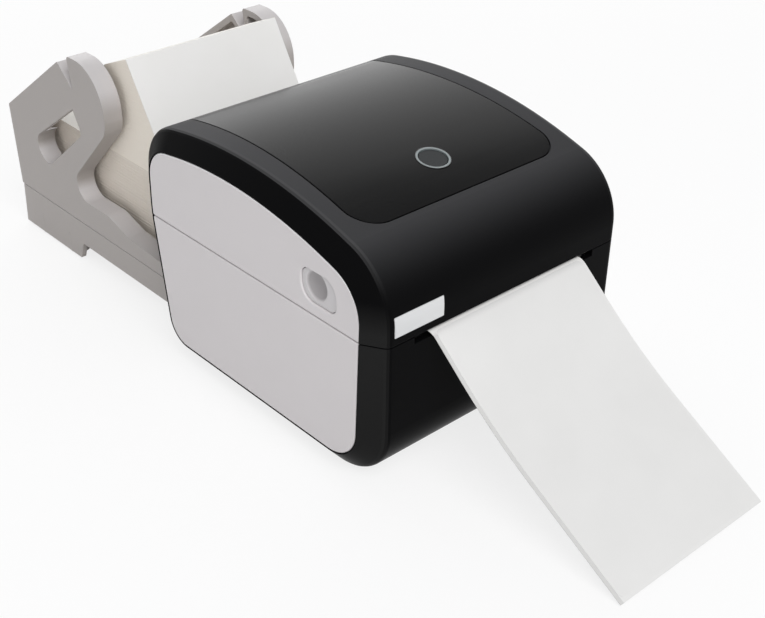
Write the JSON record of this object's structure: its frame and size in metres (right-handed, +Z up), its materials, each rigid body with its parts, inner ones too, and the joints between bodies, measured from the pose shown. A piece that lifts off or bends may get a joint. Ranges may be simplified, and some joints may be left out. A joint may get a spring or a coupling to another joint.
{
  "type": "thermal label printer with fan-fold label stand",
  "caption": "Boxy desktop thermal label printer with a hinged domed lid, light side panels and a label lying in front, fed with fan-fold labels from a hooked stand behind.",
  "frame": {"origin": "on the table, midway along and across the whole set", "axes": "+X to the printer's right as seen from the front, +Y from the printer's front towards the stand, +Z up"},
  "size_m": [0.1688, 0.4917, 0.1433],
  "materials": {
    "shell": "satin",
    "gloss": "gloss",
    "panel": "fine matte",
    "release": "fine matte",
    "cap": "satin",
    "ring": "translucent grey",
    "stand": "fine matte",
    "liner_paper": "paper",
    "label_paper": "paper",
    "stack_paper": "paper edges",
    "inner": "matte",
    "rubber": "matte",
    "platen_rubber": "ground",
    "steel": "brushed",
    "zinc": "zinc plated",
    "alloy": "extruded",
    "ceramic": "glazed",
    "board": "solder mask",
    "socket": "tinned",
    "gear": "moulded",
    "rocker": "gloss"
  },
  "bodies": {
    "base": {"base_shell": "shell", "left_lower_panel": "panel", "right_lower_panel": "panel", "media_bin": "inner", "base_screws": "steel", "main_board": "board", "usb_socket": "socket", "dc_jack": "inner", "switch_bezel": "inner", "bearing_plate": "zinc", "drive_plate": "zinc", "platen_bushes": "gear", "idler_pin": "steel", "step_motor": "zinc", "web_deck": "inner", "gap_sensor": "rocker", "rubber_feet": "rubber", "hinge_pins": "steel", "stand_tray": "stand", "stand_left_plate": "stand", "stand_right_plate": "stand", "stand_pads": "rubber", "label_web": "liner_paper", "front_label": "label_paper", "fanfold_stack": "stack_paper", "fanfold_folds": "stack_paper"},
    "lid": {"lid_shell": "shell", "top_panel": "gloss", "left_upper_panel": "panel", "right_upper_panel": "panel", "light_ring": "ring", "button_board": "board", "lid_liner": "inner", "print_head": "ceramic", "head_heatsink": "alloy", "head_bracket": "zinc", "head_springs": "steel", "tear_bar": "steel"},
    "left_release": {"left_release_button": "release"},
    "right_release": {"right_release_button": "release"},
    "feed": {"feed_button": "cap"},
    "platen": {"platen_shaft": "steel", "platen_roller": "platen_rubber", "platen_gear": "gear"},
    "idler": {"idler_gear": "gear"},
    "motor_rotor": {"motor_shaft": "steel", "motor_pinion": "gear"},
    "rocker": {"power_rocker": "rocker"}
  },
  "joints": [
    {"name": "lid_hinge", "type": "hinge", "parent": "base", "child": "lid", "pos_m": [0, 0.06935, 0.084], "axis": [-1, 0, 0], "range_deg": [0, 60]},
    {"name": "left_release_press", "type": "slide", "parent": "lid", "child": "left_release", "axis": [1, 0, 0], "range_m": [0, 0.003], "stiffness_N_per_m": 400},
    {"name": "right_release_press", "type": "slide", "parent": "lid", "child": "right_release", "axis": [-1, 0, 0], "range_m": [0, 0.003], "stiffness_N_per_m": 400},
    {"name": "feed_press", "type": "slide", "parent": "lid", "child": "feed", "axis": [0, 0.2083, -0.9781], "range_m": [0, 0.001], "stiffness_N_per_m": 300},
    {"name": "platen_spin", "type": "hinge", "parent": "base", "child": "platen", "pos_m": [0, -0.10815, 0.0743], "axis": [1, 0, 0], "continuous": true},
    {"name": "idler_spin", "type": "hinge", "parent": "base", "child": "idler", "pos_m": [0.0685, -0.09415, 0.05481], "axis": [1, 0, 0], "continuous": true},
    {"name": "motor_spin", "type": "hinge", "parent": "base", "child": "motor_rotor", "pos_m": [0.0685, -0.10165, 0.03714], "axis": [1, 0, 0], "continuous": true},
    {"name": "power_rock", "type": "hinge", "parent": "base", "child": "rocker", "pos_m": [0.054, 0.0625, 0.041], "axis": [1, 0, 0], "range_deg": [0, 14]}
  ],
  "couplings": [
    {"joint": "idler_spin", "follows": "platen_spin", "ratio": -0.66667},
    {"joint": "motor_spin", "follows": "platen_spin", "ratio": 2}
  ]
}
